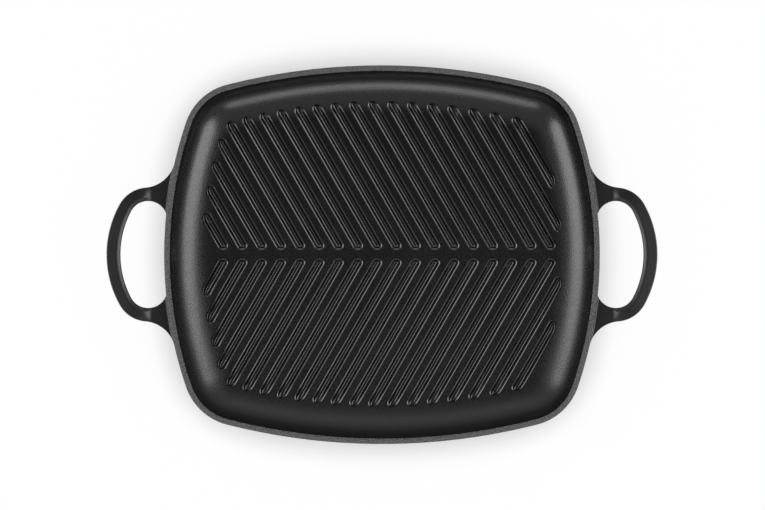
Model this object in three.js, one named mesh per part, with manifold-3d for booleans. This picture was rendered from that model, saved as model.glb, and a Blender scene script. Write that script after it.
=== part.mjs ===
// Cast-iron grill plate: a shallow bowed tray, a herringbone of grill ribs and two loop handles.
// Millimetres, +Z up. The origin is the middle of the flat base, and the handles lie along X.
import * as THREE from "three";
import { mergeVertices } from "three/addons/utils/BufferGeometryUtils.js";
import Module from "manifold-3d";

const wasm = await Module();
wasm.setup();

const { degToRad, lerp } = THREE.MathUtils;
const JOINT_GAP = 0.3;

// Tray plan: four bowed sides joined by round corners.
const TRAY_LENGTH = 360;
const TRAY_WIDTH = 313;
const LONG_SIDE_RADIUS = 520;
const SHORT_SIDE_RADIUS = 340;
const CORNER_RADIUS = 48;
const LEAST_CORNER = 1;
const SIDE_STEPS = 10;
const CORNER_STEPS = 8;

// Tray section. A foot is the inset from the rim's outer edge at which a flat face starts to rise.
const TRAY_HEIGHT = 32;
const FLOOR_THICKNESS = 5;
const RIM_WIDTH = 4.6;
const RIM_OUTER_ROUND = 0.8;
const RIM_INNER_ROUND = 0.8;
const COVE_FOOT = 42;
const BASE_FOOT = 37;
const WALL_STEPS = 8;
const RIM_STEPS = 3;

// Rib pattern. Ribs lean away from Y and are numbered by where their axis meets the middle line.
const RIB_LEAN = degToRad(30);
const RIB_PITCH = 13.8;
const RIB_LEAST_LENGTH = 20;
const FIELD_INSET = 29.6;
const CENTRE_CHANNEL = 5.4;

// Rib section: a round crest, sloping sides and a hollow foot that ends in a thin lip. Ends at the field's
// border are steeper: they keep only a share of the section's insets. The gap under an end that lies over the
// cove is less than the lip, so a foot that crosses onto the cove stays in one piece.
const RIB_SIDE_TILT = degToRad(48);
const RIB_SIDE_HEIGHT = 1.38;
const RIB_CREST_RADIUS = 1.7;
const RIB_CREST_FLAT = 0.3;
const RIB_FOOT_RADIUS = 3;
const RIB_LIP = 0.25;
const RIB_END_GAP = 0.15;
const RIB_CORNER_RADIUS = 4.4;
const RIB_TIP_RADIUS = 0.1;
const RIB_CORNER_STEP = degToRad(45);
const BORDER_END_SHARE = 0.45;

// Handle plan, for the handle on the +X side. The opening is a slot with round ends and a bowed grip.
const OPENING_END_RADIUS = 15.8;
const OPENING_END_OFFSET = 28.4;
const OPENING_TUCK = 2.5;
const GRIP_BOW = 7;
const GRIP_WIDTH = 11.6;
const ARM_WIDTH = 11.2;
const ROOT_FILLET_RADIUS = 27;
const ROOT_OVERRUN = 9;
const HANDLE_STEPS = 6;

// Handle section: the web at the wall lies lowest, then come a ramp and a gentler climb up to the grip. The ramp
// falls away towards the outer edge, so the grip slopes outward.
const WEB_DROP = 7;
const HANDLE_THICKNESS = 9;
const RAMP_SETBACK = 11;
const RAMP_SLOPE = Math.tan(degToRad(23));
const RAMP_RISE = 1.9;
const OUTWARD_FALL = 2.1;
const CLIMB_SLOPE = Math.tan(degToRad(11));
const CLIMB_RISE = 2;
const INNER_TOP_ROUND = 4;
const OUTER_TOP_ROUND = 2.4;
const UNDER_ROUND = 3.6;
const HANDLE_ROUND_STEPS = 3;

const ENAMEL_BLACK = 0x1d1d1e;

function arcPoints(centre, radius, from, to, steps) {
  return new THREE.EllipseCurve(centre.x, centre.y, radius, radius, from, to, from > to).getPoints(steps);
}

// The meeting point of two circles that lies to the left of the line from the first centre to the second.
function circleMeet(centreA, radiusA, centreB, radiusB) {
  const line = centreB.clone().sub(centreA);
  const span = line.length();
  const along = (span ** 2 + radiusA ** 2 - radiusB ** 2) / (2 * span);
  const across = Math.sqrt(radiusA ** 2 - along ** 2);
  line.normalize();
  const left = new THREE.Vector2(-line.y, line.x);
  return centreA.clone().addScaledVector(line, along).addScaledVector(left, across);
}

// A closed body over rings of equal length; the first and the last ring carry flat lids.
function skin(rings) {
  const count = rings[0].length;
  const points = rings.flat();
  const faces = [];
  for (let start = 0; start < points.length - count; start += count) {
    for (let i = 0; i < count; i++) {
      const next = (i + 1) % count;
      const [a, b] = [start + i, start + next];
      faces.push(a, b, b + count, a, b + count, a + count);
    }
  }
  const lastStart = points.length - count;
  const [bottom, top] = [points.length, points.length + 1];
  for (const ring of [rings[0], rings.at(-1)]) {
    const middle = new THREE.Vector3();
    ring.forEach((point) => middle.addScaledVector(point, 1 / count));
    points.push(middle);
  }
  for (let i = 0; i < count; i++) {
    const next = (i + 1) % count;
    faces.push(bottom, next, i, top, lastStart + i, lastStart + next);
  }
  const geometry = new THREE.BufferGeometry().setFromPoints(points);
  geometry.setIndex(faces);
  return geometry;
}

function toManifold(geometry) {
  const bare = geometry.clone();
  bare.deleteAttribute("normal");
  bare.deleteAttribute("uv");
  const merged = mergeVertices(bare);
  const vertProperties = new Float32Array(merged.attributes.position.array);
  const triVerts = new Uint32Array(merged.index.array);
  return new wasm.Manifold(new wasm.Mesh({ numProp: 3, vertProperties, triVerts }));
}

function fromManifold(manifold) {
  const { vertProperties, triVerts } = manifold.getMesh();
  const geometry = new THREE.BufferGeometry();
  geometry.setAttribute("position", new THREE.BufferAttribute(vertProperties, 3));
  geometry.setIndex(new THREE.BufferAttribute(triVerts, 1));
  return geometry;
}

const longCentre = new THREE.Vector2(0, TRAY_WIDTH / 2 - LONG_SIDE_RADIUS);
const shortCentre = new THREE.Vector2(TRAY_LENGTH / 2 - SHORT_SIDE_RADIUS, 0);

// The tray outline shrunk by an inset, as eight arcs that run anticlockwise from the +X side.
function trayArcs(inset) {
  const longRadius = LONG_SIDE_RADIUS - inset;
  const shortRadius = SHORT_SIDE_RADIUS - inset;
  const radius = Math.max(CORNER_RADIUS - inset, LEAST_CORNER);
  const corner = circleMeet(shortCentre, shortRadius - radius, longCentre, longRadius - radius);
  const farCorner = new THREE.Vector2(-corner.x, corner.y);
  const shortTurn = corner.clone().sub(shortCentre).angle();
  const longTurn = corner.clone().sub(longCentre).angle();
  const half = [
    { centre: shortCentre, radius: shortRadius, from: -shortTurn, to: shortTurn, steps: SIDE_STEPS },
    { centre: corner, radius, from: shortTurn, to: longTurn, steps: CORNER_STEPS },
    { centre: longCentre, radius: longRadius, from: longTurn, to: Math.PI - longTurn, steps: SIDE_STEPS },
    { centre: farCorner, radius, from: Math.PI - longTurn, to: Math.PI - shortTurn, steps: CORNER_STEPS },
  ];
  const otherHalf = half.map((arc) => ({
    ...arc, centre: arc.centre.clone().negate(), from: arc.from + Math.PI, to: arc.to + Math.PI,
  }));
  return [...half, ...otherHalf];
}

function trayRing(inset, z) {
  const ring = [];
  for (const { centre, radius, from, to, steps } of trayArcs(inset)) {
    const points = arcPoints(centre, radius, from, to, steps);
    points.pop();
    points.forEach((point) => ring.push(new THREE.Vector3(point.x, point.y, z)));
  }
  return ring;
}

// A quarter ellipse from a flat foot up to a vertical wall top, moved along its normal by an offset.
function risingWall(foot, top, offset) {
  const run = foot.inset - top.inset;
  const rise = top.z - foot.z;
  const points = [];
  for (let i = 0; i <= WALL_STEPS; i++) {
    const turn = (Math.PI / 2) * (i / WALL_STEPS);
    const normal = new THREE.Vector2(rise * Math.sin(turn), run * Math.cos(turn)).setLength(offset);
    const inset = foot.inset - run * Math.sin(turn) + normal.x;
    points.push({ inset, z: foot.z + rise * (1 - Math.cos(turn)) + normal.y });
  }
  return points;
}

function outerWall(offset) {
  return risingWall({ inset: BASE_FOOT, z: 0 }, { inset: 0, z: TRAY_HEIGHT - RIM_OUTER_ROUND }, offset);
}

function innerWall(offset) {
  const top = { inset: RIM_WIDTH, z: TRAY_HEIGHT - RIM_INNER_ROUND };
  return risingWall({ inset: COVE_FOOT, z: FLOOR_THICKNESS }, top, offset);
}

function rimRounds() {
  const outer = [];
  const inner = [];
  for (let i = 1; i <= RIM_STEPS; i++) {
    const turn = (Math.PI / 2) * (i / RIM_STEPS);
    outer.push({
      inset: RIM_OUTER_ROUND * (1 - Math.cos(turn)),
      z: TRAY_HEIGHT - RIM_OUTER_ROUND * (1 - Math.sin(turn)),
    });
    inner.unshift({
      inset: RIM_WIDTH - RIM_INNER_ROUND * (1 - Math.cos(turn)),
      z: TRAY_HEIGHT - RIM_INNER_ROUND * (1 - Math.sin(turn)),
    });
  }
  return [...outer, ...inner];
}

function trayBody() {
  const section = [...outerWall(0), ...rimRounds(), ...innerWall(0).reverse()];
  return skin(section.map(({ inset, z }) => trayRing(inset, z)));
}

// The room inside the tray, a small gap clear of the cove but resting on the flat floor.
function trayRoom() {
  const rings = innerWall(RIB_END_GAP).map(({ inset, z }) => trayRing(inset, z));
  return toManifold(skin([trayRing(COVE_FOOT, 0), ...rings]));
}

// The tray as a full block, grown by a joint gap.
function trayBlock() {
  const rings = outerWall(-JOINT_GAP).map(({ inset, z }) => trayRing(inset, z));
  return toManifold(skin([...rings, trayRing(-JOINT_GAP, TRAY_HEIGHT)]));
}

// Half of the rib section as insets from the rib's base edge, from the base up to the crest.
function ribSection() {
  const crestRun = RIB_CREST_RADIUS * Math.sin(RIB_SIDE_TILT);
  const crestDrop = RIB_CREST_RADIUS * (1 - Math.cos(RIB_SIDE_TILT));
  const footRun = RIB_FOOT_RADIUS * Math.sin(RIB_SIDE_TILT);
  const footRise = RIB_FOOT_RADIUS * (1 - Math.cos(RIB_SIDE_TILT));
  const sideRun = RIB_SIDE_HEIGHT / Math.tan(RIB_SIDE_TILT);
  const halfWidth = RIB_CREST_FLAT + crestRun + sideRun + footRun;
  const height = crestDrop + RIB_SIDE_HEIGHT + footRise;
  const midTilt = RIB_SIDE_TILT / 2;
  const levels = [
    { inset: 0, z: 0 },
    { inset: 0, z: RIB_LIP },
    { inset: RIB_FOOT_RADIUS * Math.sin(midTilt), z: RIB_FOOT_RADIUS * (1 - Math.cos(midTilt)) },
    { inset: footRun, z: footRise },
    { inset: footRun + sideRun, z: height - crestDrop },
    {
      inset: halfWidth - RIB_CREST_FLAT - RIB_CREST_RADIUS * Math.sin(midTilt),
      z: height - RIB_CREST_RADIUS * (1 - Math.cos(midTilt)),
    },
    { inset: halfWidth - RIB_CREST_FLAT, z: height },
  ];
  return { halfWidth, levels };
}

// Where a line leaves the rib field, as distances along it with the border's outward normal there.
function fieldCrossings(origin, direction) {
  const crossings = [];
  for (const { centre, radius, from, to } of trayArcs(FIELD_INSET)) {
    const toOrigin = origin.clone().sub(centre);
    const half = toOrigin.dot(direction);
    const reach = half ** 2 - toOrigin.lengthSq() + radius ** 2;
    if (reach < 0) {
      continue;
    }
    for (const distance of [-half - Math.sqrt(reach), -half + Math.sqrt(reach)]) {
      const normal = toOrigin.clone().addScaledVector(direction, distance).normalize();
      const turn = THREE.MathUtils.euclideanModulo(normal.angle() - from, 2 * Math.PI);
      if (turn <= to - from) {
        crossings.push({ distance, normal, endShare: BORDER_END_SHARE });
      }
    }
  }
  return crossings.sort((a, b) => a.distance - b.distance);
}

// The ribs of the upper half: their ends on their axes and the outward normals that the end cuts follow.
function ribPattern() {
  const axis = new THREE.Vector2(-Math.sin(RIB_LEAN), Math.cos(RIB_LEAN));
  const channel = { distance: CENTRE_CHANNEL / 2 / axis.y, normal: new THREE.Vector2(0, -1), endShare: 1 };
  const spacing = RIB_PITCH / axis.y;
  const outermost = Math.ceil((TRAY_LENGTH + TRAY_WIDTH) / 2 / spacing);
  const ribs = [];
  for (let number = -outermost; number <= outermost; number++) {
    const origin = new THREE.Vector2(number * spacing, 0);
    const [entry, exit] = fieldCrossings(origin, axis);
    if (!exit) {
      continue;
    }
    const near = entry.distance > channel.distance ? entry : channel;
    if (exit.distance - near.distance < RIB_LEAST_LENGTH) {
      continue;
    }
    const [inner, outer] = [near, exit].map((end) => ({
      ...end, point: origin.clone().addScaledVector(axis, end.distance),
    }));
    ribs.push({ axis, inner, outer });
  }
  return ribs;
}

// The rib's plan outline at an inset: four straight cuts joined by round corners.
function ribRing({ axis, inner, outer }, halfWidth, inset, z) {
  const right = new THREE.Vector2(axis.y, -axis.x);
  const left = right.clone().negate();
  const cornerRadius = Math.min(RIB_CORNER_RADIUS, halfWidth - RIB_CREST_FLAT);
  const radius = Math.max(cornerRadius - inset, RIB_TIP_RADIUS);
  const cornerAt = (end, side) => {
    const across = halfWidth - inset - radius;
    const depth = inset * end.endShare + radius;
    const along = (-depth - across * end.normal.dot(side)) / end.normal.dot(axis);
    return end.point.clone().addScaledVector(axis, along).addScaledVector(side, across);
  };
  const corners = [
    { end: inner, side: right, from: inner.normal, to: right },
    { end: outer, side: right, from: right, to: outer.normal },
    { end: outer, side: left, from: outer.normal, to: left },
    { end: inner, side: left, from: left, to: inner.normal },
  ];
  return corners.flatMap(({ end, side, from, to }) => {
    const start = from.angle();
    const turn = THREE.MathUtils.euclideanModulo(to.angle() - start, 2 * Math.PI);
    const steps = Math.max(1, Math.round(turn / RIB_CORNER_STEP));
    const centre = cornerAt(end, side);
    const points = arcPoints(centre, radius, start, start + turn, steps);
    return points.map((point) => new THREE.Vector3(point.x, point.y, FLOOR_THICKNESS + z));
  });
}

// An upper rib, with its ends hollowed underneath to clear the foot of the cove.
function upperRib(ends, room) {
  const { halfWidth, levels } = ribSection();
  const bar = skin(levels.map(({ inset, z }) => ribRing(ends, halfWidth, inset, z)));
  return fromManifold(toManifold(bar).intersect(room));
}

// A mirror image across the XZ plane, with its faces turned back outward.
function mirrored(geometry) {
  const copy = geometry.clone().scale(1, -1, 1);
  copy.setIndex([...geometry.index.array].reverse());
  return copy;
}

const wallFace = TRAY_LENGTH / 2;
const loopEnd = new THREE.Vector2(wallFace + OPENING_END_RADIUS - OPENING_TUCK, OPENING_END_OFFSET);
const shoulderRadius = OPENING_END_RADIUS + ARM_WIDTH;

// The grip's arc through its outermost point, touching the loop's round end of a given radius.
function gripArc(edge, endRadius) {
  const beyond = edge - loopEnd.x;
  const radius = (beyond ** 2 + loopEnd.y ** 2 - endRadius ** 2) / (2 * (beyond - endRadius));
  const centre = new THREE.Vector2(edge - radius, 0);
  return { centre, radius, turn: loopEnd.clone().sub(centre).angle() };
}

// Both edges of the +Y half of the loop, from inside the wall to the middle of the grip.
function handleRails() {
  const filletCentre = circleMeet(
    shortCentre, SHORT_SIDE_RADIUS + ROOT_FILLET_RADIUS, loopEnd, shoulderRadius + ROOT_FILLET_RADIUS);
  const filletStart = shortCentre.clone().sub(filletCentre).angle();
  const filletEnd = loopEnd.clone().sub(filletCentre).angle();
  const shoulderTurn = filletCentre.clone().sub(loopEnd).angle();
  const openingEdge = loopEnd.x + OPENING_END_RADIUS + GRIP_BOW;
  const innerGrip = gripArc(openingEdge, OPENING_END_RADIUS);
  const outerGrip = gripArc(openingEdge + GRIP_WIDTH, shoulderRadius);
  const inner = [
    arcPoints(loopEnd, OPENING_END_RADIUS, Math.PI, shoulderTurn, HANDLE_STEPS),
    arcPoints(loopEnd, OPENING_END_RADIUS, shoulderTurn, innerGrip.turn, HANDLE_STEPS),
    arcPoints(innerGrip.centre, innerGrip.radius, innerGrip.turn, 0, HANDLE_STEPS),
  ];
  const outer = [
    arcPoints(filletCentre, ROOT_FILLET_RADIUS, filletStart, filletEnd, HANDLE_STEPS),
    arcPoints(loopEnd, shoulderRadius, shoulderTurn, outerGrip.turn, HANDLE_STEPS),
    arcPoints(outerGrip.centre, outerGrip.radius, outerGrip.turn, 0, HANDLE_STEPS),
  ];
  return [inner, outer].map((arcs) => {
    const rail = arcs.flatMap((points, i) => (i === 0 ? points : points.slice(1)));
    const overrun = rail[0].clone().setX(rail[0].x - ROOT_OVERRUN);
    return [overrun, ...rail];
  });
}

// How far the handle has risen above its web, by the distance from the middle of the tray and the share of
// the way from its inner edge to its outer edge.
function handleRise(x, share) {
  const past = Math.max(x - wallFace - RAMP_SETBACK, 0);
  const climb = Math.min(CLIMB_SLOPE * past, CLIMB_RISE);
  const rampTop = Math.max(RAMP_RISE - OUTWARD_FALL * share ** 2, 0);
  return Math.min(RAMP_SLOPE * past, rampTop + climb);
}

// The handle's cross-section between two facing rail points: a block with four round edges.
function handleRing(inner, outer) {
  const width = inner.distanceTo(outer);
  const top = TRAY_HEIGHT - WEB_DROP;
  const bottom = top - HANDLE_THICKNESS;
  const largestRound = Math.min(width, HANDLE_THICKNESS) / 2;
  const under = Math.min(UNDER_ROUND, largestRound);
  const innerTop = Math.min(INNER_TOP_ROUND, largestRound);
  const outerTop = Math.min(OUTER_TOP_ROUND, largestRound);
  const edges = [
    { across: under, level: bottom + under, round: under, from: Math.PI },
    { across: width - under, level: bottom + under, round: under, from: 1.5 * Math.PI },
    { across: width - outerTop, level: top - outerTop, round: outerTop, from: 0 },
    { across: innerTop, level: top - innerTop, round: innerTop, from: 0.5 * Math.PI },
  ];
  return edges.flatMap(({ across, level, round, from }) => {
    const centre = new THREE.Vector2(across, level);
    const points = arcPoints(centre, round, from, from + Math.PI / 2, HANDLE_ROUND_STEPS);
    return points.map((point) => {
      const share = point.x / width;
      const x = lerp(inner.x, outer.x, share);
      return new THREE.Vector3(x, lerp(inner.y, outer.y, share), point.y + handleRise(x, share));
    });
  });
}

// The +X handle, with its roots hollowed to clear the curved wall of the tray.
function handle(block) {
  const [inner, outer] = handleRails();
  const upperHalf = inner.map((point, i) => [point, outer[i]]);
  const flip = (point) => new THREE.Vector2(point.x, -point.y);
  const lowerHalf = upperHalf.slice(0, -1).map((pair) => pair.map(flip)).reverse();
  const rings = [...upperHalf, ...lowerHalf].map(([near, far]) => handleRing(near, far));
  return fromManifold(toManifold(skin(rings)).subtract(block));
}

const plate = new THREE.Group();
plate.name = "grill_plate";

function addPiece(name, geometry, finish) {
  const mesh = new THREE.Mesh(geometry, new THREE.MeshStandardMaterial(finish));
  mesh.name = name;
  plate.add(mesh);
}

const trayFinish = { color: ENAMEL_BLACK, roughness: 0.42, metalness: 0 };
const ribFinish = { color: ENAMEL_BLACK, roughness: 0.36, metalness: 0 };
const handleFinish = { color: ENAMEL_BLACK, roughness: 0.4, metalness: 0 };

addPiece("tray_body", trayBody(), trayFinish);

const rightHandle = handle(trayBlock());
addPiece("right_handle", rightHandle, handleFinish);
addPiece("left_handle", rightHandle.clone().rotateZ(Math.PI), handleFinish);

const room = trayRoom();
ribPattern().forEach((ends, i) => {
  const label = String(i + 1).padStart(2, "0");
  const rib = upperRib(ends, room);
  addPiece(`upper_rib_${label}`, rib, ribFinish);
  addPiece(`lower_rib_${label}`, mirrored(rib), ribFinish);
});

export default plate;
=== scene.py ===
import math

import bpy
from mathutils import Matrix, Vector


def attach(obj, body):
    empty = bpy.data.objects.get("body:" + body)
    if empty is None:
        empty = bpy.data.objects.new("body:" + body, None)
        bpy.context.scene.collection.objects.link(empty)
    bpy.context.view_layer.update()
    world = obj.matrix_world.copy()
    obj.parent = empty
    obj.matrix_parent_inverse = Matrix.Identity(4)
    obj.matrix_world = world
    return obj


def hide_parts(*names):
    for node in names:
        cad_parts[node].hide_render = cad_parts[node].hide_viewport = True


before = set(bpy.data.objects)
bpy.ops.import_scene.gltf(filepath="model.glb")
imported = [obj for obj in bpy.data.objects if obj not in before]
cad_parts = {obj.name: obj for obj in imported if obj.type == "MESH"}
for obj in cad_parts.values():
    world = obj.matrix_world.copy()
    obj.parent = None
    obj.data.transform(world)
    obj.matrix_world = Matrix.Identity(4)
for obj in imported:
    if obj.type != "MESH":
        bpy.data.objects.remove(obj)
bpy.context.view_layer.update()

MM = 0.001
SHARP_ANGLE = math.radians(50)

# Tray sizes in millimetres. Insets run inward from the rim's outer edge.
TRAY_LENGTH = 360
TRAY_WIDTH = 313
LONG_SIDE_RADIUS = 520
SHORT_SIDE_RADIUS = 340
CORNER_RADIUS = 48
TRAY_HEIGHT = 32
FLOOR_THICKNESS = 5
RIM_WIDTH = 4.6
RIM_OUTER_ROUND = 0.8
RIM_INNER_ROUND = 0.8
RIM_INNER_RUN = 1.8
COVE_FOOT = 42
BASE_FOOT = 37
SIDE_STEPS = 56
CORNER_STEPS = 32
WALL_STEPS = 64
RIM_STEPS = 8

# Rib sizes.
RIB_LEAN = math.radians(30)
RIB_PITCH = 13.8
RIB_LEAST_LENGTH = 20
FIELD_INSET = 29.6
CENTRE_CHANNEL = 5.4
RIB_SIDE_TILT = math.radians(48)
RIB_SIDE_HEIGHT = 1.38
RIB_CREST_RADIUS = 1.7
RIB_CREST_FLAT = 0.3
RIB_FOOT_RADIUS = 3
RIB_FOOT_START = math.radians(3)
RIB_CORNER_RADIUS = 4.4
RIB_END_ROUND = 4.4
RIB_END_SHEAR = 0.3
RIB_END_SHARE = 0.45
NOSE_RUN = 7
NOSE_FADE = 0.55
RIB_TIP_RADIUS = 0.05
RIB_TIP_WIDTH = 0.06
RIB_SKIRT = 0.4
RIB_SECTION_STEPS = 12
RIB_LENGTH_STEPS = 48
RIB_END_STEPS = 24
RIB_CUT_STEPS = 6
RIB_CORNER_STEP = math.radians(11)

# Handle sizes, for the handle on the +X side.
OPENING_END_RADIUS = 15.8
OPENING_END_OFFSET = 28.4
OPENING_TUCK = 2.5
GRIP_BOW = 7
GRIP_WIDTH = 11.6
ARM_WIDTH = 11.2
ROOT_FILLET_RADIUS = 27
WEB_DROP = 7
HANDLE_THICKNESS = 9
RAMP_SETBACK = 11
RAMP_SLOPE = math.tan(math.radians(27))
RAMP_RISE = 1.9
OUTWARD_FALL = 2.1
GRIP_FALL = 1.1
ARM_RUN = 14
CREASE_ROUND = 1.6
CLIMB_SLOPE = math.tan(math.radians(11))
CLIMB_RISE = 2
CLIMB_BLEND = 1.5
RAMP_BLEND = 0.8
INNER_TOP_ROUND = 3
INNER_ROUND_TURN = math.radians(62)
BEVEL_TILT = math.radians(30)
BEVEL_WIDTH = 1.3
OUTER_TOP_ROUND = 1.2
OUTER_ROUND_TURN = math.radians(40)
WEB_ROUND = 1
UNDER_ROUND = 3.4
EDGE_CRISPNESS = 0.15
WALL_FILLET = 1.2
ROOT_SINK = 1.5
HANDLE_STEPS = 26
EDGE_STEPS = 8

# Photograph frame: millimetres per pixel at the rim, the pixel at which the plate's middle lies, and the
# camera's distance in metres and lean.
PHOTO_WIDTH = 765
PHOTO_HEIGHT = 510
MM_PER_PIXEL = 0.82617
MIDDLE_PIXEL = (381.97, 254.73)
CAMERA_DISTANCE = 15
CAMERA_LEAN = math.radians(-1.2)


def arc_points(centre, radius, start, end, steps):
    points = []
    for i in range(steps + 1):
        turn = start + (end - start) * i / steps
        points.append(Vector((centre.x + radius * math.cos(turn), centre.y + radius * math.sin(turn))))
    return points


def angle_of(vector):
    return math.atan2(vector.y, vector.x) % (2 * math.pi)


def circle_meet(centre_a, radius_a, centre_b, radius_b):
    """The meeting point of two circles on the left of the line from the first centre to the second."""
    line = centre_b - centre_a
    span = line.length
    along = (span ** 2 + radius_a ** 2 - radius_b ** 2) / (2 * span)
    across = math.sqrt(radius_a ** 2 - along ** 2)
    line.normalize()
    return centre_a + line * along + Vector((-line.y, line.x)) * across


def smoothstep(value, low, high):
    share = min(max((value - low) / (high - low), 0), 1)
    return share * share * (3 - 2 * share)


def soft_least(a, b, blend):
    """The lesser of two heights, with a round changeover."""
    share = min(max(0.5 + 0.5 * (b - a) / blend, 0), 1)
    return b + (a - b) * share - blend * share * (1 - share)


def lid(start, count, flip):
    """Faces that close a ring, from one end of it to the other."""
    faces = []
    for i in range(count // 2):
        a = start + i
        b = start + (i + 1) % count
        c = start + (count - i - 2) % count
        d = start + (count - i - 1) % count
        corners = list(dict.fromkeys((a, b, c, d)))
        if len(corners) > 2:
            faces.append(corners[::-1] if flip else corners)
    return faces


def add_piece(name, rings, materials, band_material=None):
    """A closed, smooth mesh over rings of equal length, with a lid on the first and the last ring."""
    count = len(rings[0])
    points = [point for ring in rings for point in ring]
    faces = []
    material_of_face = []
    for band in range(len(rings) - 1):
        start = band * count
        for i in range(count):
            a = start + i
            b = start + (i + 1) % count
            faces.append((a, b, b + count, a + count))
            material_of_face.append(band_material(band) if band_material else 0)
    faces += lid(0, count, flip=True) + lid(len(points) - count, count, flip=False)
    material_of_face += [0] * (len(faces) - len(material_of_face))
    mesh = bpy.data.meshes.new(name)
    mesh.from_pydata([point * MM for point in points], [], faces)
    for material in materials:
        mesh.materials.append(material)
    mesh.polygons.foreach_set("material_index", material_of_face)
    mesh.shade_smooth()
    mesh.set_sharp_from_angle(angle=SHARP_ANGLE)
    piece = bpy.data.objects.new(name, mesh)
    bpy.context.scene.collection.objects.link(piece)
    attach(piece, "root")
    return piece


# Materials.

ENAMEL_IOR = 1.63
RIB_IOR = 1.72
DARK_COAT = (0.0045, 0.0045, 0.0047)
LIGHT_COAT = (0.0065, 0.0065, 0.0067)
RIM_DARK = (0.025, 0.025, 0.026)
RIM_LIGHT = (0.15, 0.15, 0.149)
RIM_ROUGHNESS = (0.72, 0.55)
RIM_GRAIN = 0.5

# Noise: scales, the stretches of its values that the maps spread out, and depths of relief in metres.
CLOUD_SCALE = 45
CLOUD_RANGE = (0.3, 0.7)
SPECK_SCALE = 900
SPECK_RANGE = (0.35, 0.65)
SPECK_DEPTH = 0.0003
GRIT_SCALE = 1000
GRIT_COLOUR_RANGE = (0.38, 0.62)
GRIT_GLOSS_RANGE = (0.3, 0.7)
GRIT_DEPTH = 0.0004
FINE_ROUGHNESS = 0.6


def new_material(name):
    material = bpy.data.materials.new(name)
    material.use_nodes = True
    nodes = material.node_tree.nodes
    return material, nodes, material.node_tree.links, nodes["Principled BSDF"]


def noise(nodes, links, coordinates, scale, detail, roughness=0.5):
    node = nodes.new("ShaderNodeTexNoise")
    node.inputs["Scale"].default_value = scale
    node.inputs["Detail"].default_value = detail
    node.inputs["Roughness"].default_value = roughness
    links.new(coordinates.outputs["Object"], node.inputs["Vector"])
    return node


def map_range(nodes, links, source, from_low, from_high, to_low, to_high):
    node = nodes.new("ShaderNodeMapRange")
    node.inputs["From Min"].default_value = from_low
    node.inputs["From Max"].default_value = from_high
    node.inputs["To Min"].default_value = to_low
    node.inputs["To Max"].default_value = to_high
    links.new(source, node.inputs["Value"])
    return node


def mixed_colour(nodes, links, factor, dark, light):
    node = nodes.new("ShaderNodeMix")
    node.data_type = "RGBA"
    node.inputs["A"].default_value = (*dark, 1)
    node.inputs["B"].default_value = (*light, 1)
    links.new(factor, node.inputs["Factor"])
    return node.outputs["Result"]


def bump(nodes, links, height, strength, distance):
    node = nodes.new("ShaderNodeBump")
    node.inputs["Strength"].default_value = strength
    node.inputs["Distance"].default_value = distance
    links.new(height, node.inputs["Height"])
    return node


def enamel(name, roughness_low, roughness_high, grain, ior, pits=0, dull_near=0):
    """Satin black enamel: a fine grain in the coat and broad, faint changes in its gloss and colour.

    The coat may have fine pits of another gloss, and it may be duller on the near side (-Y) of the plate
    than on the far side.
    """
    material, nodes, links, shader = new_material(name)
    coordinates = nodes.new("ShaderNodeTexCoord")
    cloud = noise(nodes, links, coordinates, scale=CLOUD_SCALE, detail=3)
    speck = noise(nodes, links, coordinates, scale=SPECK_SCALE, detail=2, roughness=FINE_ROUGHNESS)
    colour = mixed_colour(nodes, links, cloud.outputs["Fac"], DARK_COAT, LIGHT_COAT)
    links.new(colour, shader.inputs["Base Color"])
    gloss = map_range(nodes, links, cloud.outputs["Fac"], *CLOUD_RANGE, roughness_low, roughness_high)
    place = nodes.new("ShaderNodeSeparateXYZ")
    links.new(coordinates.outputs["Object"], place.inputs["Vector"])
    half_width = TRAY_WIDTH / 2 * MM
    dullness = map_range(nodes, links, place.outputs["Y"], -half_width, half_width, dull_near, -dull_near)
    pitting = map_range(nodes, links, speck.outputs["Fac"], *SPECK_RANGE, -pits, pits)
    roughness = gloss.outputs["Result"]
    for change in (dullness, pitting):
        add = nodes.new("ShaderNodeMath")
        add.operation = "ADD"
        links.new(roughness, add.inputs[0])
        links.new(change.outputs["Result"], add.inputs[1])
        roughness = add.outputs[0]
    links.new(roughness, shader.inputs["Roughness"])
    shader.inputs["IOR"].default_value = ior
    relief = bump(nodes, links, speck.outputs["Fac"], strength=grain, distance=SPECK_DEPTH)
    links.new(relief.outputs["Normal"], shader.inputs["Normal"])
    return material


def bare_rim(name):
    """The rim's thin, rough coat: a greyer, dull, gritty skin."""
    material, nodes, links, shader = new_material(name)
    coordinates = nodes.new("ShaderNodeTexCoord")
    grit = noise(nodes, links, coordinates, scale=GRIT_SCALE, detail=2, roughness=FINE_ROUGHNESS)
    colour_share = map_range(nodes, links, grit.outputs["Fac"], *GRIT_COLOUR_RANGE, 0, 1)
    colour = mixed_colour(nodes, links, colour_share.outputs["Result"], RIM_DARK, RIM_LIGHT)
    links.new(colour, shader.inputs["Base Color"])
    gloss = map_range(nodes, links, grit.outputs["Fac"], *GRIT_GLOSS_RANGE, *RIM_ROUGHNESS)
    links.new(gloss.outputs["Result"], shader.inputs["Roughness"])
    relief = bump(nodes, links, grit.outputs["Fac"], strength=RIM_GRAIN, distance=GRIT_DEPTH)
    links.new(relief.outputs["Normal"], shader.inputs["Normal"])
    return material


TRAY_ENAMEL = enamel(
    "tray_enamel_look", roughness_low=0.26, roughness_high=0.29,
    grain=0.3, ior=ENAMEL_IOR, pits=0.08, dull_near=0.1)
RIB_ENAMEL = enamel(
    "rib_enamel_look", roughness_low=0.16, roughness_high=0.18, grain=0.02, ior=RIB_IOR)
HANDLE_ENAMEL = enamel(
    "handle_enamel_look", roughness_low=0.36, roughness_high=0.4, grain=0.08, ior=ENAMEL_IOR)
BARE_RIM = bare_rim("bare_rim_look")


# Tray.

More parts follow.
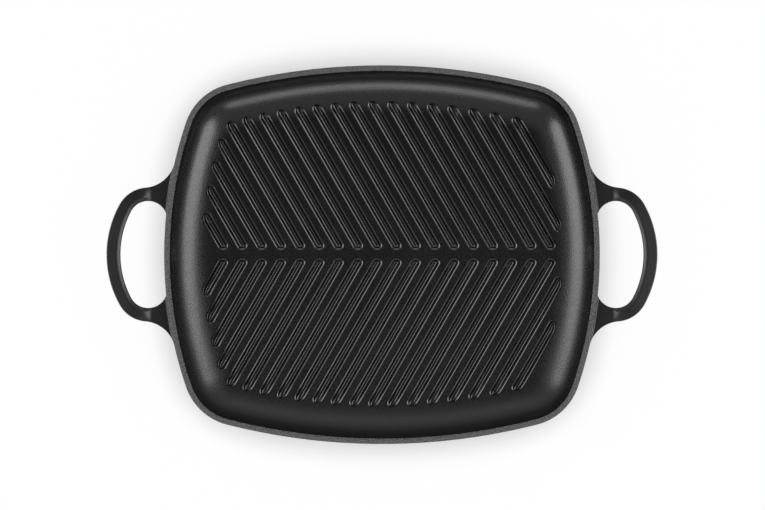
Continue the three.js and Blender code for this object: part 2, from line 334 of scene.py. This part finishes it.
LONG_CENTRE = Vector((0, TRAY_WIDTH / 2 - LONG_SIDE_RADIUS))
SHORT_CENTRE = Vector((TRAY_LENGTH / 2 - SHORT_SIDE_RADIUS, 0))
CORNER_CENTRE = circle_meet(
    SHORT_CENTRE, SHORT_SIDE_RADIUS - CORNER_RADIUS, LONG_CENTRE, LONG_SIDE_RADIUS - CORNER_RADIUS)
SHORT_TURN = angle_of(CORNER_CENTRE - SHORT_CENTRE)
LONG_TURN = angle_of(CORNER_CENTRE - LONG_CENTRE)


def tray_arcs():
    """Eight arcs (centre, radius, start, end, steps) round the tray, anticlockwise from the +X side."""
    far_corner = Vector((-CORNER_CENTRE.x, CORNER_CENTRE.y))
    half = [
        (SHORT_CENTRE, SHORT_SIDE_RADIUS, -SHORT_TURN, SHORT_TURN, SIDE_STEPS),
        (CORNER_CENTRE, CORNER_RADIUS, SHORT_TURN, LONG_TURN, CORNER_STEPS),
        (LONG_CENTRE, LONG_SIDE_RADIUS, LONG_TURN, math.pi - LONG_TURN, SIDE_STEPS),
        (far_corner, CORNER_RADIUS, math.pi - LONG_TURN, math.pi - SHORT_TURN, CORNER_STEPS),
    ]
    other_half = [(-centre, radius, start + math.pi, end + math.pi, steps)
                  for centre, radius, start, end, steps in half]
    return half + other_half


def tray_ring(inset, z):
    ring = []
    for centre, radius, start, end, steps in tray_arcs():
        ring += arc_points(centre, radius - inset, start, end, steps)[:-1]
    return [Vector((point.x, point.y, z)) for point in ring]


def rising_wall(foot, top):
    """A quarter ellipse from a flat foot (inset, z) up to an upright wall top (inset, z)."""
    points = []
    for i in range(WALL_STEPS + 1):
        turn = math.pi / 2 * i / WALL_STEPS
        inset = foot[0] - (foot[0] - top[0]) * math.sin(turn)
        points.append((inset, foot[1] + (top[1] - foot[1]) * (1 - math.cos(turn))))
    return points


def rim_section():
    """The rim over both its round edges, from the outer wall to the inner one, as (inset, z)."""
    points = []
    for i in range(1, RIM_STEPS + 1):
        turn = math.pi / 2 * i / RIM_STEPS
        drop = RIM_OUTER_ROUND * (1 - math.sin(turn))
        points.append((RIM_OUTER_ROUND * (1 - math.cos(turn)), TRAY_HEIGHT - drop))
    for i in range(RIM_STEPS):
        turn = math.pi / 2 * i / RIM_STEPS
        drop = RIM_INNER_ROUND * (1 - math.cos(turn))
        points.append((RIM_WIDTH - RIM_INNER_RUN * (1 - math.sin(turn)), TRAY_HEIGHT - drop))
    return points


def build_tray():
    outer = rising_wall((BASE_FOOT, 0), (0, TRAY_HEIGHT - RIM_OUTER_ROUND))
    inner = rising_wall((COVE_FOOT, FLOOR_THICKNESS), (RIM_WIDTH, TRAY_HEIGHT - RIM_INNER_ROUND))
    rim = rim_section()
    section = outer + rim + inner[::-1]
    rings = [tray_ring(inset, z) for inset, z in section]
    rim_start = len(outer) - 1
    rim_end = rim_start + len(rim)
    tray = add_piece("tray", rings, [TRAY_ENAMEL, BARE_RIM],
                     lambda band: 1 if rim_start <= band <= rim_end else 0)
    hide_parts("tray_body")


def tray_inset(x, y):
    """How far a point lies inside the rim's outer edge; below zero outside it."""
    point = Vector((abs(x), abs(y)))
    from_short_side = SHORT_SIDE_RADIUS - (point - SHORT_CENTRE).length
    from_long_side = LONG_SIDE_RADIUS - (point - LONG_CENTRE).length
    inset = min(from_short_side, from_long_side)
    from_corner = point - CORNER_CENTRE
    if SHORT_TURN < angle_of(from_corner) < LONG_TURN:
        inset = min(inset, CORNER_RADIUS - from_corner.length)
    return inset


def floor_height(x, y):
    """The height of the tray's inside over a point: the flat floor or the foot of the cove."""
    climb = (COVE_FOOT - tray_inset(x, y)) / (COVE_FOOT - RIM_WIDTH)
    if climb <= 0:
        return FLOOR_THICKNESS
    rise = TRAY_HEIGHT - RIM_INNER_ROUND - FLOOR_THICKNESS
    return FLOOR_THICKNESS + rise * (1 - math.sqrt(max(1 - climb ** 2, 0)))


# Ribs.

def rib_section():
    """Half of the rib's width and its section, as (inset from the foot's edge, height above the floor)."""
    crest_drop = RIB_CREST_RADIUS * (1 - math.cos(RIB_SIDE_TILT))
    foot_rise = RIB_FOOT_RADIUS * (1 - math.cos(RIB_SIDE_TILT))
    side_run = RIB_SIDE_HEIGHT / math.tan(RIB_SIDE_TILT)
    half_width = RIB_CREST_FLAT + (RIB_CREST_RADIUS + RIB_FOOT_RADIUS) * math.sin(RIB_SIDE_TILT) + side_run
    height = crest_drop + RIB_SIDE_HEIGHT + foot_rise
    levels = [(RIB_FOOT_RADIUS * math.sin(RIB_FOOT_START), -RIB_SKIRT)]
    for i in range(RIB_SECTION_STEPS + 1):
        tilt = RIB_FOOT_START + (RIB_SIDE_TILT - RIB_FOOT_START) * i / RIB_SECTION_STEPS
        levels.append((RIB_FOOT_RADIUS * math.sin(tilt), RIB_FOOT_RADIUS * (1 - math.cos(tilt))))
    for i in range(RIB_SECTION_STEPS + 1):
        tilt = RIB_SIDE_TILT * (1 - i / RIB_SECTION_STEPS)
        inset = half_width - RIB_CREST_FLAT - RIB_CREST_RADIUS * math.sin(tilt)
        levels.append((inset, height - RIB_CREST_RADIUS * (1 - math.cos(tilt))))
    levels.append((half_width - RIB_TIP_WIDTH, height))
    return half_width, levels


def field_crossings(origin, direction):
    """Where a line crosses the rib field's border: (distance along it, the border's outward normal)."""
    crossings = []
    for centre, full_radius, start, end, _ in tray_arcs():
        radius = full_radius - FIELD_INSET
        to_origin = origin - centre
        half = to_origin.dot(direction)
        reach = half ** 2 - to_origin.length_squared + radius ** 2
        if reach < 0:
            continue
        for distance in (-half - math.sqrt(reach), -half + math.sqrt(reach)):
            normal = (to_origin + direction * distance).normalized()
            if (angle_of(normal) - start) % (2 * math.pi) <= end - start:
                crossings.append((distance, normal))
    return sorted(crossings, key=lambda crossing: crossing[0])


def rib_pattern():
    """The upper ribs as (axis, inner end, outer end).

    An end is (its point on the axis, the normal of its border, whether that border is the channel).
    """
    axis = Vector((-math.sin(RIB_LEAN), math.cos(RIB_LEAN)))
    channel = (CENTRE_CHANNEL / 2 / axis.y, Vector((0, -1)))
    spacing = RIB_PITCH / axis.y
    outermost = math.ceil((TRAY_LENGTH + TRAY_WIDTH) / 2 / spacing)
    ribs = []
    for number in range(-outermost, outermost + 1):
        origin = Vector((number * spacing, 0))
        crossings = field_crossings(origin, axis)
        if len(crossings) < 2:
            continue
        near = max(crossings[0], channel, key=lambda crossing: crossing[0])
        far = crossings[1]
        if far[0] - near[0] >= RIB_LEAST_LENGTH:
            inner_end = (origin + axis * near[0], near[1], near is channel)
            outer_end = (origin + axis * far[0], far[1], False)
            ribs.append((axis, inner_end, outer_end))
    return ribs


def eased_points(start, end, steps):
    """Points between two ends, closer together towards the ends."""
    shares = [0.5 - 0.5 * math.cos(math.pi * i / steps) for i in range(1, steps)]
    return [start.lerp(end, share) for share in shares]


def rib_height(x, y, level):
    """A rib's height: it stands on the floor and the cove, and gets lower at the field's border."""
    nearness = min(max(1 - (tray_inset(x, y) - FIELD_INSET) / NOSE_RUN, 0), 1)
    return floor_height(x, y) + level * (1 - NOSE_FADE * nearness ** 2)


def round_end(end, outward, half_width, inset):
    """A rib's end at the field's border: half an ellipse, sheared towards the border's own direction."""
    point, normal, _ = end
    side = Vector((outward.y, -outward.x))
    facing = normal.dot(outward)
    centre = point - outward * (RIB_END_ROUND / facing)
    shear = -RIB_END_SHEAR * normal.dot(side) / facing
    across = half_width - inset
    reach = half_width - inset * RIB_END_SHARE
    points = []
    for i in range(RIB_END_STEPS + 1):
        turn = math.pi * i / RIB_END_STEPS
        along = reach * (shear * math.cos(turn) + math.sin(turn))
        points.append(centre + side * across * math.cos(turn) + outward * along)
    return points


def cut_end(end, outward, half_width, inset):
    """A rib's end at the channel: cut straight along the channel, with round corners."""
    point, normal, _ = end
    side = Vector((outward.y, -outward.x))
    radius = max(RIB_CORNER_RADIUS - inset, RIB_TIP_RADIUS)
    across = half_width - inset - radius
    corners = []
    for edge, from_normal, to_normal in ((side, side, normal), (-side, normal, -side)):
        along = (-inset - radius - across * normal.dot(edge)) / normal.dot(outward)
        centre = point + outward * along + edge * across
        start = angle_of(from_normal)
        turn = (angle_of(to_normal) - start) % (2 * math.pi)
        steps = round(turn / RIB_CORNER_STEP)
        corners.append(arc_points(centre, radius, start, start + turn, steps))
    first, second = corners
    return first + eased_points(first[-1], second[0], RIB_CUT_STEPS) + second


def rib_ring(rib, half_width, inset, level):
    """The rib's outline at an inset: two ends joined by straight sides, laid over the tray's inside."""
    axis, inner, outer = rib
    ends = []
    for end, outward in ((outer, axis), (inner, -axis)):
        shape = cut_end if end[2] else round_end
        ends.append(shape(end, outward, half_width, inset))
    outline = []
    for end, next_end in (ends, ends[::-1]):
        outline += end + eased_points(end[-1], next_end[0], RIB_LENGTH_STEPS)
    tip = len(ends[0]) // 2
    outline = outline[tip:] + outline[:tip]
    return [Vector((point.x, point.y, rib_height(point.x, point.y, level))) for point in outline]


def build_ribs():
    half_width, levels = rib_section()
    for i, rib in enumerate(rib_pattern()):
        upper = [rib_ring(rib, half_width, inset, level) for inset, level in levels]
        lower = [[Vector((point.x, -point.y, point.z)) for point in reversed(ring)] for ring in upper]
        for half, rings in (("upper", upper), ("lower", lower)):
            label = f"{half}_rib_{i + 1:02d}"
            piece = add_piece(f"{label}_enamelled", rings, [RIB_ENAMEL])
            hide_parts(label)


# Handles.

WALL_FACE = TRAY_LENGTH / 2
LOOP_END = Vector((WALL_FACE + OPENING_END_RADIUS - OPENING_TUCK, OPENING_END_OFFSET))
SHOULDER_RADIUS = OPENING_END_RADIUS + ARM_WIDTH


def grip_arc(edge, end_radius):
    """The grip's arc (centre, radius, turn) through its outermost point, touching the loop's round end."""
    beyond = edge - LOOP_END.x
    radius = (beyond ** 2 + LOOP_END.y ** 2 - end_radius ** 2) / (2 * (beyond - end_radius))
    centre = Vector((edge - radius, 0))
    return centre, radius, angle_of(LOOP_END - centre)


def handle_rails():
    """Both edges of the +Y half of the loop, from the wall to the middle of the grip."""
    fillet_centre = circle_meet(
        SHORT_CENTRE, SHORT_SIDE_RADIUS + ROOT_FILLET_RADIUS,
        LOOP_END, SHOULDER_RADIUS + ROOT_FILLET_RADIUS)
    fillet_start = angle_of(SHORT_CENTRE - fillet_centre)
    fillet_end = angle_of(LOOP_END - fillet_centre)
    shoulder_turn = angle_of(fillet_centre - LOOP_END)
    opening_edge = LOOP_END.x + OPENING_END_RADIUS + GRIP_BOW
    inner_centre, inner_radius, inner_turn = grip_arc(opening_edge, OPENING_END_RADIUS)
    outer_centre, outer_radius, outer_turn = grip_arc(opening_edge + GRIP_WIDTH, SHOULDER_RADIUS)
    steps = HANDLE_STEPS
    inner = arc_points(LOOP_END, OPENING_END_RADIUS, math.pi, shoulder_turn, steps)
    inner += arc_points(LOOP_END, OPENING_END_RADIUS, shoulder_turn, inner_turn, steps)[1:]
    inner += arc_points(inner_centre, inner_radius, inner_turn, 0, steps)[1:]
    outer = arc_points(fillet_centre, ROOT_FILLET_RADIUS, fillet_start, fillet_end, steps)
    outer += arc_points(LOOP_END, SHOULDER_RADIUS, shoulder_turn, outer_turn, steps)[1:]
    outer += arc_points(outer_centre, outer_radius, outer_turn, 0, steps)[1:]
    return list(zip(inner, outer))


def handle_rise(x, share):
    """How far the handle lies above its web: a ramp, then a gentle climb that falls to the outer edge."""
    past = -soft_least(WALL_FACE + RAMP_SETBACK - x, 0, CREASE_ROUND)
    arm_fall = OUTWARD_FALL * share ** 2
    fall = arm_fall + (GRIP_FALL * share - arm_fall) * smoothstep(past, 0, ARM_RUN)
    ramp_top = max(RAMP_RISE - fall, 0)
    climb = soft_least(CLIMB_SLOPE * past, CLIMB_RISE, CLIMB_BLEND)
    return max(soft_least(RAMP_SLOPE * past, ramp_top + climb, RAMP_BLEND), 0)


def wall_fillet(x, y):
    """The hollow fillet between the web and the tray's wall."""
    gap = max(-tray_inset(x, y), 0)
    if gap >= WALL_FILLET:
        return 0
    return WALL_FILLET - math.sqrt(WALL_FILLET ** 2 - (WALL_FILLET - gap) ** 2)


def top_edge(radius, turn, bevel, top):
    """A top edge in section, where x is the way inward.

    It is a round that breaks off at a turn, with a straight bevel in it.
    """
    points = []
    for i in range(EDGE_STEPS + 1):
        tilt = turn * i / EDGE_STEPS
        remaining = 0 if tilt > BEVEL_TILT else bevel
        inward = radius * (math.sin(turn) - math.sin(tilt)) + remaining
        drop = radius * (1 - math.cos(tilt)) + (bevel - remaining) * math.tan(BEVEL_TILT)
        points.append(Vector((inward, top - drop)))
    points.append(Vector((0, points[-1].y - EDGE_CRISPNESS)))
    return points


def handle_section(width, risen):
    """The section across the handle from its inner edge, with round lower edges and crisp top edges."""
    top = TRAY_HEIGHT - WEB_DROP
    low = top - HANDLE_THICKNESS + UNDER_ROUND
    inner_radius = WEB_ROUND + (INNER_TOP_ROUND - WEB_ROUND) * risen
    outer_radius = WEB_ROUND + (OUTER_TOP_ROUND - WEB_ROUND) * risen
    inner_edge = top_edge(inner_radius, INNER_ROUND_TURN, BEVEL_WIDTH * risen, top)
    outer_edge = top_edge(outer_radius, OUTER_ROUND_TURN, 0, top)
    inner_low = Vector((UNDER_ROUND, low))
    outer_low = Vector((width - UNDER_ROUND, low))
    outline = arc_points(inner_low, UNDER_ROUND, math.pi, 1.5 * math.pi, EDGE_STEPS)
    outline += arc_points(outer_low, UNDER_ROUND, 1.5 * math.pi, 2 * math.pi, EDGE_STEPS)
    outline += [Vector((width - point.x, point.y)) for point in reversed(outer_edge)]
    outline += eased_points(outline[-1], inner_edge[0], EDGE_STEPS)
    return outline + inner_edge


def handle_ring(inner, outer):
    """The section between facing rail points, raised by the ramp and joined to the wall by a fillet."""
    width = (outer - inner).length
    middle = TRAY_HEIGHT - WEB_DROP - HANDLE_THICKNESS / 2
    ring = []
    risen = min(handle_rise((inner.x + outer.x) / 2, 0) / RAMP_RISE, 1)
    for point in handle_section(width, risen):
        share = point.x / width
        plan = inner.lerp(outer, share)
        fillet = wall_fillet(plan.x, plan.y)
        height = point.y + handle_rise(plan.x, share) + (fillet if point.y > middle else -fillet)
        ring.append(Vector((plan.x, plan.y, height)))
    return ring


def sunk_ring(ring):
    """A copy of the first ring, moved into the thickness of the tray's wall."""
    sunk = []
    for point in ring:
        climb = 1 - min(point.z / (TRAY_HEIGHT - RIM_OUTER_ROUND), 1)
        wall_inset = BASE_FOOT * (1 - math.sqrt(1 - climb ** 2))
        radius = SHORT_SIDE_RADIUS - wall_inset - ROOT_SINK
        sunk.append(Vector((SHORT_CENTRE.x + math.sqrt(radius ** 2 - point.y ** 2), point.y, point.z)))
    return sunk


def build_handles():
    upper = [handle_ring(inner, outer) for inner, outer in handle_rails()]
    upper.insert(0, sunk_ring(upper[0]))
    lower = [[Vector((point.x, -point.y, point.z)) for point in ring] for ring in upper[-2::-1]]
    rings = upper + lower
    turned = [[Vector((-point.x, -point.y, point.z)) for point in ring] for ring in rings]
    for name, body in (("right_handle", rings), ("left_handle", turned)):
        piece = add_piece(f"{name}_enamelled", body, [HANDLE_ENAMEL])
        # The photograph's soft shade on the floor lies round the tray alone.
        piece.visible_shadow = False
        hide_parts(name)


# Stage, light and camera, with lengths in metres.

FLOOR_REACH = 6
FLOOR_DROP = 0.0002
FLOOR_WHITE = (0.95, 0.95, 0.95, 1)
FLOOR_GLOW = 0.96
SHADE_REACH = 0.05
SHADE_RANGE = (0.5, 0.8)
SHADE_LEVELS = (0.68, 1)
STUDIO_GREY = (0.41, 0.41, 0.41)
CEILING_GREY = (0.07, 0.07, 0.07)
CEILING_EDGE = math.radians(34)
CEILING_MIDDLE = math.radians(20)
CEILING_LEAN = math.radians(10)
LAMP_DISTANCE = 1.5
SENSOR_WIDTH_MM = 36
VIEW_LIMIT = 100

# Lamps: azimuth and elevation in degrees, width and height in metres, and the brightness of the face.
SOFTBOXES = {
    "left_softbox": (183.5, 33.5, 1.45, 0.95, 3.45),
    "right_softbox": (-6, 39.5, 1.4, 0.93, 3.45),
    "near_strip": (-90, 28.5, 1.05, 0.5, 2),
    "far_strip": (90, 37, 1.7, 0.42, 0.55),
}


def glow_share(nodes, links):
    """The share of glow in what a ray sees of the floor: none, but for the camera, reflections and glass."""
    path = nodes.new("ShaderNodeLightPath")
    seen = path.outputs["Is Camera Ray"]
    for other in ("Is Glossy Ray", "Is Transmission Ray"):
        either = nodes.new("ShaderNodeMath")
        either.operation = "MAXIMUM"
        links.new(seen, either.inputs[0])
        links.new(path.outputs[other], either.inputs[1])
        seen = either.outputs[0]
    share = nodes.new("ShaderNodeMath")
    share.operation = "MULTIPLY"
    share.inputs[1].default_value = FLOOR_GLOW
    links.new(seen, share.inputs[0])
    return share.outputs[0]


def white_floor(name):
    """White paper that glows evenly where it is seen, with a soft shade close to the tray."""
    material = bpy.data.materials.new(name)
    material.use_nodes = True
    nodes = material.node_tree.nodes
    links = material.node_tree.links
    nodes.clear()
    paper = nodes.new("ShaderNodeBsdfDiffuse")
    paper.inputs["Color"].default_value = FLOOR_WHITE
    glow = nodes.new("ShaderNodeEmission")
    nearness = nodes.new("ShaderNodeAmbientOcclusion")
    nearness.inputs["Distance"].default_value = SHADE_REACH
    shade = map_range(nodes, links, nearness.outputs["AO"], *SHADE_RANGE, *SHADE_LEVELS)
    links.new(shade.outputs["Result"], glow.inputs["Color"])
    mix = nodes.new("ShaderNodeMixShader")
    links.new(glow_share(nodes, links), mix.inputs["Fac"])
    links.new(paper.outputs[0], mix.inputs[1])
    links.new(glow.outputs[0], mix.inputs[2])
    output = nodes.new("ShaderNodeOutputMaterial")
    links.new(mix.outputs[0], output.inputs["Surface"])
    return material


def build_floor():
    reach = FLOOR_REACH
    corners = [(-reach, -reach, 0), (reach, -reach, 0), (reach, reach, 0), (-reach, reach, 0)]
    mesh = bpy.data.meshes.new("studio_floor")
    mesh.from_pydata(corners, [], [(0, 1, 2, 3)])
    mesh.materials.append(white_floor("white_floor"))
    floor = bpy.data.objects.new("studio_floor", mesh)
    floor.location.z = -FLOOR_DROP
    bpy.context.scene.collection.objects.link(floor)


def softbox(name, azimuth, elevation, width, height, radiance):
    """An area lamp that faces the plate, with its power worked out from the brightness of its face."""
    lamp = bpy.data.lights.new(name, "AREA")
    lamp.shape = "ELLIPSE"
    lamp.size = width
    lamp.size_y = height
    lamp.energy = radiance * math.pi * (math.pi / 4 * width * height)
    holder = bpy.data.objects.new(name, lamp)
    turn = math.radians(azimuth)
    tilt = math.radians(elevation)
    direction = Vector((math.cos(turn) * math.cos(tilt), math.sin(turn) * math.cos(tilt), math.sin(tilt)))
    holder.location = direction * LAMP_DISTANCE
    holder.rotation_euler = (-holder.location).to_track_quat("-Z", "Y").to_euler()
    bpy.context.scene.collection.objects.link(holder)


def build_world():
    """A pale studio all round, with a dark ceiling overhead that leans to the far side."""
    world = bpy.data.worlds.new("studio")
    world.use_nodes = True
    nodes = world.node_tree.nodes
    links = world.node_tree.links
    direction = nodes.new("ShaderNodeTexCoord")
    overhead = nodes.new("ShaderNodeVectorMath")
    overhead.operation = "DOT_PRODUCT"
    overhead.inputs[1].default_value = (0, math.sin(CEILING_LEAN), math.cos(CEILING_LEAN))
    links.new(direction.outputs["Generated"], overhead.inputs[0])
    edge = math.cos(CEILING_EDGE)
    middle = math.cos(CEILING_MIDDLE)
    ceiling = map_range(nodes, links, overhead.outputs["Value"], edge, middle, 0, 1)
    ceiling.interpolation_type = "SMOOTHSTEP"
    colour = mixed_colour(nodes, links, ceiling.outputs["Result"], STUDIO_GREY, CEILING_GREY)
    links.new(colour, nodes["Background"].inputs["Color"])
    bpy.context.scene.world = world


def build_light():
    for name, (azimuth, elevation, width, height, radiance) in SOFTBOXES.items():
        softbox(name, azimuth, elevation, width, height, radiance)
    build_world()


def build_camera():
    camera = bpy.data.cameras.new("photo_camera")
    camera.sensor_width = SENSOR_WIDTH_MM
    frame_width = PHOTO_WIDTH * MM_PER_PIXEL * MM
    camera.lens = camera.sensor_width * CAMERA_DISTANCE / frame_width
    camera.clip_end = VIEW_LIMIT
    holder = bpy.data.objects.new("photo_camera", camera)
    offset_x = (PHOTO_WIDTH / 2 - MIDDLE_PIXEL[0]) * MM_PER_PIXEL * MM
    offset_y = (MIDDLE_PIXEL[1] - PHOTO_HEIGHT / 2) * MM_PER_PIXEL * MM
    aim = Vector((offset_x, offset_y, TRAY_HEIGHT * MM))
    holder.location = aim + Vector((0, -math.sin(CAMERA_LEAN), math.cos(CAMERA_LEAN))) * CAMERA_DISTANCE
    holder.rotation_euler.x = CAMERA_LEAN
    bpy.context.scene.collection.objects.link(holder)
    bpy.context.scene.camera = holder


build_camera()
build_floor()
build_light()
build_tray()
build_ribs()
build_handles()
bpy.context.scene.view_settings.view_transform = "Standard"
